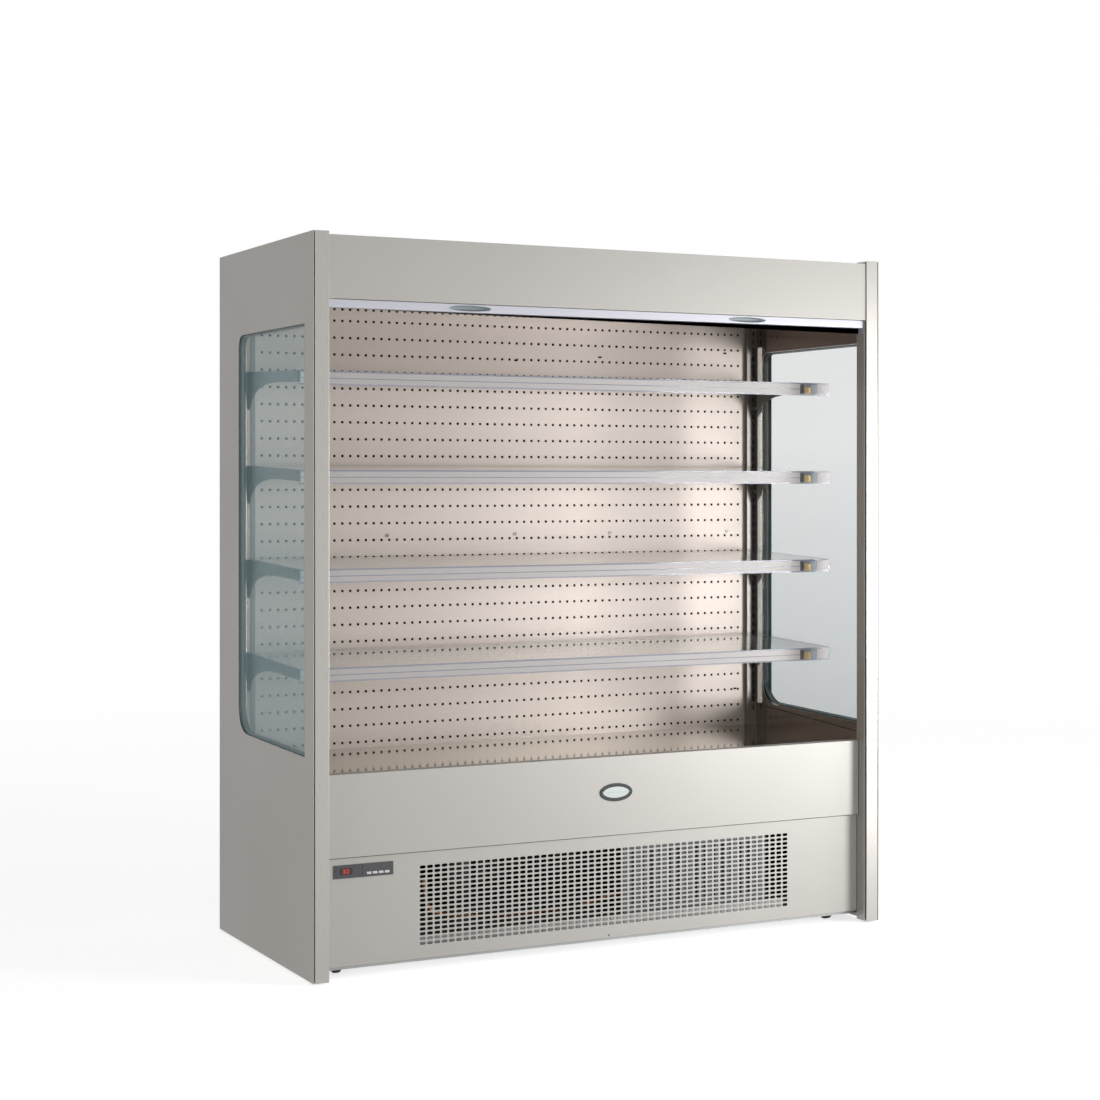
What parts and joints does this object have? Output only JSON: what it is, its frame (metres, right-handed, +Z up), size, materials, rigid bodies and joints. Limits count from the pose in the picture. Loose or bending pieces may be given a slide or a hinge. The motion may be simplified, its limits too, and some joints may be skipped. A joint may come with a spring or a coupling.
{
  "type": "open multideck display fridge",
  "caption": "Upright open-front display fridge with glass shelves on slotted uprights, a pull-down night blind, glazed ends, a vented machine room and castors.",
  "frame": {"origin": "on the floor, in the middle of the cabinet's footprint", "axes": "+X to the right as seen from the front, +Y to the rear, +Z up"},
  "size_m": [1.8, 0.78, 1.98],
  "materials": {
    "painted_panel": "satin light warm grey, slightly metallic",
    "anodised": "satin anodised with fine lengthwise grain",
    "stainless": "satin stainless with a faint warm tint",
    "galvanised": "plain galvanised sheet",
    "shelf_steel": "dark grey satin",
    "glass": "clear with pale green edges",
    "clear_plastic": "clear with a white insert",
    "white_aluminium": "bright satin white",
    "blind_fabric": "matte woven",
    "charcoal": "matte charcoal",
    "pale_key": "matte white",
    "black_enamel": "satin black",
    "copper": "bare copper",
    "fin_aluminium": "thin bare fins",
    "black_plastic": "matte black",
    "tyre": "matte grey rubber",
    "zinc": "zinc plated"
  },
  "bodies": {
    "cabinet": {"end_wall_left": "painted_panel", "glazing_left": "glass", "post_left": "anodised", "upright_left": "stainless", "end_wall_right": "painted_panel", "glazing_right": "glass", "post_right": "anodised", "upright_right": "stainless", "roof_panel": "galvanised", "header_fascia": "painted_panel", "rear_wall": "galvanised", "cable_gland": "black_plastic", "canopy_liner": "stainless", "air_outlet": "anodised", "upper_fascia": "painted_panel", "badge_plate": "charcoal", "vent_panel": "painted_panel", "controller": "charcoal", "well_tub": "galvanised", "return_grille": "stainless", "deck_plate": "stainless", "perforated_panel": "stainless", "base_pan": "galvanised", "compressor": "black_enamel", "condenser": "fin_aluminium", "condenser_fan_motor": "black_enamel", "drain_tray": "black_plastic", "electrical_box": "galvanised", "pipework": "copper", "evaporator": "fin_aluminium", "shelf_1_frame": "shelf_steel", "shelf_1_glass": "glass", "shelf_1_ticket_rail": "clear_plastic", "shelf_2_frame": "shelf_steel", "shelf_2_glass": "glass", "shelf_2_ticket_rail": "clear_plastic", "shelf_3_frame": "shelf_steel", "shelf_3_glass": "glass", "shelf_3_ticket_rail": "clear_plastic", "shelf_4_frame": "shelf_steel", "shelf_4_glass": "glass", "shelf_4_ticket_rail": "clear_plastic"},
    "blind": {"blind_pull_bar": "white_aluminium", "blind_cloth": "blind_fabric"},
    "blind_roller": {"blind_roller": "blind_fabric"},
    "condenser_fan": {"condenser_fan_blade": "black_plastic"},
    "evaporator_fan_left": {"evaporator_fan_blade_left": "black_plastic"},
    "evaporator_fan_right": {"evaporator_fan_blade_right": "black_plastic"},
    "key_1": {"controller_key_1": "pale_key"},
    "key_2": {"controller_key_2": "pale_key"},
    "key_3": {"controller_key_3": "pale_key"},
    "key_4": {"controller_key_4": "pale_key"},
    "castor_left": {"castor_fork_left": "zinc"},
    "front_wheel_left": {"castor_wheel_front_left": "tyre"},
    "rear_wheel_left": {"castor_wheel_rear_left": "tyre"},
    "brake_pedal_left": {"castor_brake_pedal_left": "black_plastic"},
    "castor_right": {"castor_fork_right": "zinc"},
    "front_wheel_right": {"castor_wheel_front_right": "tyre"},
    "rear_wheel_right": {"castor_wheel_rear_right": "tyre"},
    "brake_pedal_right": {"castor_brake_pedal_right": "black_plastic"}
  },
  "joints": [
    {"name": "blind_slide", "type": "slide", "parent": "cabinet", "child": "blind", "axis": [0, 0, -1], "range_m": [0, 1.25], "stiffness_N_per_m": 8, "springref_m": -3, "deforming": ["blind_cloth"]},
    {"name": "blind_roller_turn", "type": "hinge", "parent": "cabinet", "child": "blind_roller", "pos_m": [0, -0.34, 1.896], "axis": [1, 0, 0], "range_deg": [0, 2700]},
    {"name": "condenser_fan_spin", "type": "hinge", "parent": "cabinet", "child": "condenser_fan", "pos_m": [0.31, -0.235, 0.1843], "axis": [0, 1, 0], "continuous": true},
    {"name": "evaporator_fan_left_spin", "type": "hinge", "parent": "cabinet", "child": "evaporator_fan_left", "pos_m": [-0.295, -0.074, 0.42215], "axis": [0, 1, 0], "continuous": true},
    {"name": "evaporator_fan_right_spin", "type": "hinge", "parent": "cabinet", "child": "evaporator_fan_right", "pos_m": [0.295, -0.074, 0.42215], "axis": [0, 1, 0], "continuous": true},
    {"name": "key_1_press", "type": "slide", "parent": "cabinet", "child": "key_1", "axis": [0, 1, 0], "range_m": [0, 0.0008], "stiffness_N_per_m": 900},
    {"name": "key_2_press", "type": "slide", "parent": "cabinet", "child": "key_2", "axis": [0, 1, 0], "range_m": [0, 0.0008], "stiffness_N_per_m": 900},
    {"name": "key_3_press", "type": "slide", "parent": "cabinet", "child": "key_3", "axis": [0, 1, 0], "range_m": [0, 0.0008], "stiffness_N_per_m": 900},
    {"name": "key_4_press", "type": "slide", "parent": "cabinet", "child": "key_4", "axis": [0, 1, 0], "range_m": [0, 0.0008], "stiffness_N_per_m": 900},
    {"name": "castor_left_swivel", "type": "hinge", "parent": "cabinet", "child": "castor_left", "pos_m": [-0.79069, -0.23969, 0.08], "axis": [0, 0, 1], "continuous": true},
    {"name": "front_wheel_left_roll", "type": "hinge", "parent": "castor_left", "child": "front_wheel_left", "pos_m": [-0.79069, -0.26569, 0.031], "axis": [1, 0, 0], "continuous": true},
    {"name": "rear_wheel_left_roll", "type": "hinge", "parent": "cabinet", "child": "rear_wheel_left", "pos_m": [-0.79069, 0.3007, 0.031], "axis": [1, 0, 0], "continuous": true},
    {"name": "brake_pedal_left_press", "type": "hinge", "parent": "castor_left", "child": "brake_pedal_left", "pos_m": [-0.79069, -0.29174, 0.05797], "axis": [1, 0, 0], "range_deg": [0, 18]},
    {"name": "castor_right_swivel", "type": "hinge", "parent": "cabinet", "child": "castor_right", "pos_m": [0.79069, -0.23969, 0.08], "axis": [0, 0, 1], "continuous": true},
    {"name": "front_wheel_right_roll", "type": "hinge", "parent": "castor_right", "child": "front_wheel_right", "pos_m": [0.79069, -0.26569, 0.031], "axis": [1, 0, 0], "continuous": true},
    {"name": "rear_wheel_right_roll", "type": "hinge", "parent": "cabinet", "child": "rear_wheel_right", "pos_m": [0.79069, 0.3007, 0.031], "axis": [1, 0, 0], "continuous": true},
    {"name": "brake_pedal_right_press", "type": "hinge", "parent": "castor_right", "child": "brake_pedal_right", "pos_m": [0.79069, -0.29174, 0.05797], "axis": [1, 0, 0], "range_deg": [0, 18]}
  ],
  "couplings": [
    {"joint": "blind_roller_turn", "follows": "blind_slide", "rad_per_m": 37.594}
  ]
}
